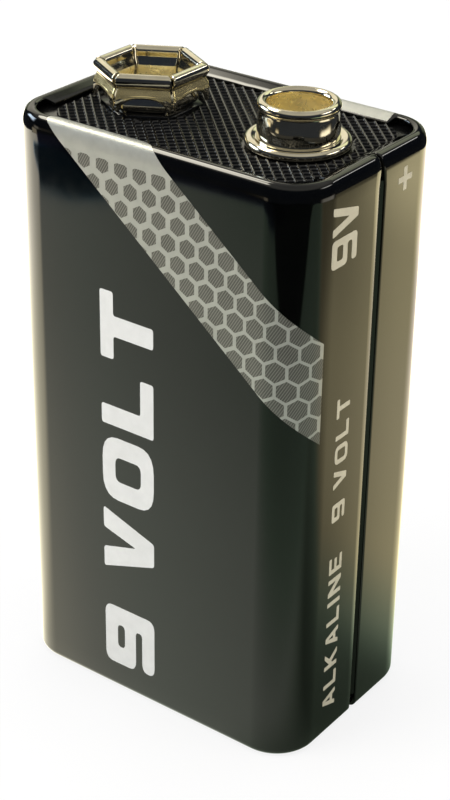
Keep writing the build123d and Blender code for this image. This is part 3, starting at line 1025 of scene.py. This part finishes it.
def ink(name, dark, light, rough, metallic, hatch=None):
    """Printed ink; a hatch is (pitch in mm, share of line, colour of the lines)."""
    mottle, wear, grain, lift = (900, 4.0, 0.6), (2600, 4.0, 0.6), (14000, 2.0, 0.5), (0.12, 6)
    return finish(name, dark, light, rough, metallic, mottle, wear, grain, lift, hatch=hatch)


CELL_HATCH = (0.2, 0.42, (0.185, 0.18, 0.155))
BLACK_DARK, BLACK_LIGHT = (0.0008, 0.0009, 0.0009), (0.0016, 0.0017, 0.0016)
SURFACES = [
    ("jacket_lacquer", BLACK_DARK, BLACK_LIGHT, (0.05, 0.08), 0, (9000, 0.05, 4), 500),
    ("sheet_steel", (0.50, 0.47, 0.40), (0.66, 0.62, 0.54), (0.22, 0.36), 1, (12000, 0.3, 10)),
    ("sheet_cut_edge", (0.34, 0.34, 0.31), (0.46, 0.46, 0.42), (0.3, 0.42), 1, (16000, 0.5, 10)),
    ("black_plastic", (0.0022, 0.0022, 0.0024), (0.0045, 0.0045, 0.0045), (0.13, 0.22), 0, (14000, 0.12, 6)),
    ("nickel_plate", (0.60, 0.55, 0.42), (0.72, 0.67, 0.54), (0.055, 0.11), 1, (5200, 0.10, 10), 500),
    ("terminal_inside", (0.80, 0.68, 0.33), (0.90, 0.78, 0.42), (0.24, 0.34), 0.6, (5200, 0.1, 10), 900),
    # The skirt's band: a golden tone, partly diffuse so that the lamps light it, a painted sheen
    ("skirt_gold_sheen", (0.56, 0.46, 0.22), (0.68, 0.57, 0.29), (0.16, 0.24), 0.75, (5200, 0.1, 10), 900),
    ("rivet_steel", (0.48, 0.43, 0.32), (0.62, 0.57, 0.45), (0.2, 0.34), 1, (6000, 0.5, 30)),
    ("strap_nickel", (0.52, 0.50, 0.46), (0.66, 0.64, 0.60), (0.2, 0.34), 1, (3000, 0.4, 20), 700, (1, 8, 1)),
    ("fibre_card", (0.30, 0.24, 0.16), (0.42, 0.35, 0.25), (0.75, 0.9), 0, (5200, 0.7, 40), 2500, (1, 3, 1)),
    ("cell_steel", (0.50, 0.50, 0.49), (0.62, 0.62, 0.61), (0.18, 0.3), 1, (2600, 0.3, 20), 700, (1, 1, 0.2)),
    ("seal_nylon", (0.14, 0.16, 0.20), (0.19, 0.21, 0.26), (0.45, 0.6), 0, (8000, 0.3, 10)),
    ("sleeve_film", (0.09, 0.11, 0.15), (0.13, 0.15, 0.2), (0.12, 0.22), 0, (1800, 0.25, 30)),
]
INKS = [
    ("silver_ink", (0.36, 0.36, 0.32), (0.42, 0.42, 0.37), (0.32, 0.42), 0.35),
    ("cell_ink", (0.068, 0.066, 0.056), (0.095, 0.092, 0.078), (0.3, 0.4), 0.3, CELL_HATCH),
    ("white_ink", (0.66, 0.66, 0.64), (0.72, 0.72, 0.70), (0.38, 0.5), 0),
    ("cream_ink", (0.46, 0.42, 0.31), (0.52, 0.48, 0.36), (0.38, 0.5), 0),
]
MATERIALS = {row[0]: surface(*row) for row in SURFACES} | {row[0]: ink(*row) for row in INKS}


def dress_carried_nodes():
    """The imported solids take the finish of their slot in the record."""
    for entry in frame["record"]["subparts"]:
        node = frame["nodes"][entry["node"]]
        node.material_slots[0].material = MATERIALS[entry["material_slot"]]


build_jacket()
print_jacket()
build_top_plate()
build_stud()
build_socket()
build_rivet("stud_rivet_head", "stud_rivet", STUD_X, 0.3)
build_rivet("socket_rivet_head", "socket_rivet", SOCKET_X, 0.22)
dress_carried_nodes()


# Stage: pale floor, soft light, and cards that only reflections see

FLOOR_HALF = 3000
PAPER_TONES = [(0.87, 0.87, 0.865), (0.89, 0.89, 0.885)]
GROUND_LIFT = 0.02
CARD_CENTRE_Z = 45


def build_floor():
    """White paper: the camera sees it partly as its own glow, so that it stays white round the shadow."""
    material, tree, shader = new_material("floor_paper")
    paper = mottled(tree, coordinates(tree), (60, 3.0, 0.5), *PAPER_TONES)
    connect(tree, shader, Base_Color=paper, Roughness=0.9, Specular_IOR_Level=0.0)
    glow = new_node(tree, "Emission", Color=(1, 1, 1, 1), Strength=1.02)
    light_path = new_node(tree, "LightPath")
    share = math_node(tree, "MULTIPLY", light_path.outputs["Is Camera Ray"], 0.8)
    mix = new_node(tree, "MixShader", Fac=share)
    tree.links.new(shader.outputs["BSDF"], mix.inputs[1])
    tree.links.new(glow.outputs["Emission"], mix.inputs[2])
    connect(tree, tree.nodes["Material Output"], Surface=mix.outputs["Shader"])
    corners = box(-FLOOR_HALF, -FLOOR_HALF, FLOOR_HALF, FLOOR_HALF)
    mesh = bpy.data.meshes.new("floor")
    mesh.from_pydata([Vector((x, y, 0)) * MM for x, y in corners], [], [(0, 1, 2, 3)])
    floor = add_object("floor", mesh, [material], body=None)
    floor.visible_glossy = False


def glow_card(name, verts, columns, colours):
    """A grid of points that glows with a colour stored at each point, and that only reflections see."""
    across = columns + 1
    faces = []
    for j in range(len(verts) // across - 1):
        for i in range(columns):
            a = j * across + i
            faces.append((a, a + 1, a + across + 1, a + across))
    mesh = bpy.data.meshes.new(name)
    mesh.from_pydata(verts, [], faces)
    stored = mesh.color_attributes.new("Glow", "FLOAT_COLOR", "POINT")
    for k, colour in enumerate(colours):
        stored.data[k].color = (*colour, 1.0)
    material, tree, shader = new_material(name)
    tree.nodes.remove(shader)
    source = new_node(tree, "Attribute")
    source.attribute_name = "Glow"
    emission = new_node(tree, "Emission", Color=source.outputs["Color"])
    connect(tree, tree.nodes["Material Output"], Surface=emission.outputs["Emission"])
    card = add_object(name, mesh, [material], body=None)
    for ray in ("camera", "diffuse", "shadow", "transmission", "volume_scatter"):
        setattr(card, "visible_" + ray, False)


def ground_glow(x, y):
    """How bright the ground round the body looks in its sides, as a linear colour; x and y in millimetres."""
    # It fades from the left towards the right, and is brightest past a slanting line on the left
    across = x - y
    value = 0.30 + 1.08 * math.exp(-max(0.0, across) / 32)
    value += (2.95 + 0.45 * ease(60, 95, -x) - value) * ease(5, -13, across)
    value *= 1 + 0.16 * ease(-62, -28, y)
    red = 1.08 - 0.15 * ease(-8, 12, across) - 0.20 * ease(20, 60, across)
    blue = 0.74 + 0.09 * ease(-8, 5, across) - 0.13 * ease(20, 60, across)
    blue += 0.07 * ease(60, 95, -x)

    # On the right it rises away from the foot and falls off to the side; the dim ground next to the foot is
    # painted shade of the body
    aside = ease(6, 12.5, x) * ease(-14, -3, y)
    beside = 0.15 + 0.25 * ease(12, 62, x) + 0.60 * ease(-2, 36, y)
    beside *= (1 - 0.5 * ease(58, 100, x) * ease(5, 30, y)) * (1 - 0.2 * ease(45, 70, y))
    # Behind it is brighter, past a line that runs away from the body
    past = ease(5, -6, (x - 13) - 0.62 * y) * ease(-14, 0, x) * ease(4, 12, y)
    behind = 0.2 + 1.6 * ease(-1, 23, y) + 1.1 * ease(75, 100, y)
    value += (beside - value) * aside
    value += (behind - value) * past
    warm = max(aside, past)
    fade = ease(6, 22, y)
    red += (0.75 + 0.40 * fade - red) * warm
    blue += (0.68 - 0.11 * fade + 0.22 * ease(50, 10, x) * ease(20, 70, y) - blue) * warm

    # A dark wedge in front of the corner, dark ground far out, and a dark blue patch on the left
    wedge = ease(-1.0, 1.0, ((x - 56) - (y + 50)) * 0.707)
    wedge *= ease(-1.5, 1.5, (x - 74) * 0.25 - (y + 45) * 0.97)
    far = ease(103.6, 105.6, -y - 0.113 * x)
    away, turn = math.hypot(x + 9.5, y + 5), math.degrees(math.atan2(y + 5, x + 9.5))
    lower = 99 + 1.9 * min(3.5, max(-1.5, -130.5 - turn)) + 0.4 * max(0.0, -134 - turn)
    patch = ease(lower, lower + 3, away) * ease(121.5, 117.5, away)
    patch *= ease(-152, -146, turn) * ease(-123, -127, turn)
    value *= (1 - 0.97 * wedge) * (1 - 0.96 * far) * (1 - 0.965 * patch)
    red -= 0.7 * patch
    blue += 1.2 * far + 0.7 * patch
    return value * red, value, value * blue


def build_ground_card():
    """The ground as only reflections see it."""
    steps, reach = 240, 150
    ticks = spaced(-reach, reach, steps)
    verts = [(x * MM, y * MM, GROUND_LIFT * MM) for y in ticks for x in ticks]
    glow_card("ground_card", verts, steps, [ground_glow(x, y) for y in ticks for x in ticks])


def sky_card(name, azimuths, elevations, colour, strength, distance=420, soft=0.15):
    """A curved card round the body, set by directions in degrees, with edges that dim over a soft share."""
    columns, rows = 24, 16
    verts, colours = [], []
    for v, el in zip(spaced(0, 1, rows), spaced(*elevations, rows)):
        for u, az in zip(spaced(0, 1, columns), spaced(*azimuths, columns)):
            direction = Matrix.Rotation(math.radians(az), 3, "Z") @ Vector((
                math.cos(math.radians(el)), 0, math.sin(math.radians(el)),
            ))
            verts.append((direction * distance + Vector((0, 0, CARD_CENTRE_Z))) * MM)
            glow = strength * ease(0, soft, min(u, 1 - u)) * ease(0, soft, min(v, 1 - v))
            colours.append([part * glow for part in colour])
    glow_card(name, verts, columns, colours)


def build_world():
    """White behind everything, an even light, and a sky for mirrors: dark low down and pale above."""
    world = bpy.data.worlds.new("studio")
    bpy.context.scene.world = world
    world.use_nodes = True
    tree = world.node_tree
    source = new_node(tree, "TexCoord")
    direction = new_node(tree, "SeparateXYZ", Vector=source.outputs["Generated"])
    mirrored = ramp(tree, direction.outputs["Z"], [
        (0.0, (0.030, 0.034, 0.042)),
        (0.02, (0.020, 0.026, 0.040)),
        (0.50, (0.030, 0.038, 0.055)),
        (0.62, (0.40, 0.39, 0.35)),
        (0.80, (0.62, 0.60, 0.54)),
        (1.0, (0.50, 0.49, 0.45)),
    ])
    light_path = new_node(tree, "LightPath")
    lit = mix_colours(tree, light_path.outputs["Is Glossy Ray"], (0.62, 0.63, 0.65, 1.0), mirrored)
    seen = mix_colours(tree, light_path.outputs["Is Camera Ray"], lit, (1.0, 1.0, 1.0, 1.0))
    connect(tree, tree.nodes["Background"], Color=seen, Strength=1.0)


def area_light(name, place, target, size, power, colour):
    """A soft light that mirrors don't see, in millimetres."""
    data = bpy.data.lights.new(name, "AREA")
    data.shape = "RECTANGLE"
    data.size, data.size_y = size[0] * MM, size[1] * MM
    data.energy = power
    data.color = colour
    light = bpy.data.objects.new(name, data)
    bpy.context.scene.collection.objects.link(light)
    light.location = Vector(place) * MM
    light.rotation_euler = (Vector(target) - Vector(place)).to_track_quat("-Z", "Y").to_euler()
    light.visible_glossy = False


def build_camera():
    """The camera at the photograph's place."""
    place = (73.365, -99.441, 90.951)
    turn, tilt, roll = math.radians(36.20), math.radians(28.74), math.radians(0.95)
    data = bpy.data.cameras.new("camera")
    data.sensor_width = 36.0
    data.lens = 84.573
    data.clip_start = 0.005
    data.clip_end = 50.0
    camera = bpy.data.objects.new("camera", data)
    bpy.context.scene.collection.objects.link(camera)
    camera.matrix_world = (
        Matrix.Translation(Vector(place) * MM) @ Matrix.Rotation(turn, 4, "Z")
        @ Matrix.Rotation(math.pi / 2 - tilt, 4, "X") @ Matrix.Rotation(roll, 4, "Z")
    )
    bpy.context.scene.camera = camera


build_floor()
build_ground_card()
sky_card("window_card", (144, 222), (43, 60), (1.0, 0.95, 0.80), 13.0)
sky_card("left_wall_card", (118, 166), (10, 42), (1.0, 0.95, 0.78), 1.15, 460, 0.1)
sky_card("back_wall_card", (84, 165), (-12, 18), (0.90, 1.0, 0.66), 0.40, 480, 0.2)
sky_card("corner_window_card", (-184, -146), (5, 27), (0.70, 0.84, 1.0), 12.0, 440, 0.25)
sky_card("right_strip_card", (54, 74), (27.5, 31.5), (1.0, 0.98, 0.92), 8.0, soft=0.25)
sky_card("right_wall_card", (80, 124), (24, 42), (0.95, 1.0, 0.70), 1.3, 440, 0.12)
sky_card("front_glint_card", (-148, -128), (-7, 2), (1.0, 0.90, 0.70), 1.4, 300, 0.3)
sky_card("side_glint_card", (6, 50), (20, 31), (1.0, 0.97, 0.90), 6.0, 430, 0.35)
sky_card("stud_left_card", (-152, -135), (-19, -5), (1.0, 0.86, 0.60), 2.0, 150, 0.2)
sky_card("stud_front_card", (-119, -106), (-19, -6), (1.0, 0.86, 0.60), 1.0, 150, 0.3)
sky_card("stud_right_card", (0, 42), (-19, -7), (1.0, 0.93, 0.76), 1.7, 150, 0.25)
build_world()
area_light("key", (-260, -360, 420), (0, 0, 25), (320, 320), 1.6, (1.0, 0.98, 0.95))
area_light("top", (-60, 60, 420), (0, 0, 30), (260, 260), 0.6, (1.0, 0.98, 0.94))
area_light("side", (380, 120, 240), (0, 0, 25), (220, 260), 0.35, (1.0, 0.95, 0.86))
build_camera()
bpy.context.scene.view_settings.view_transform = "Standard"
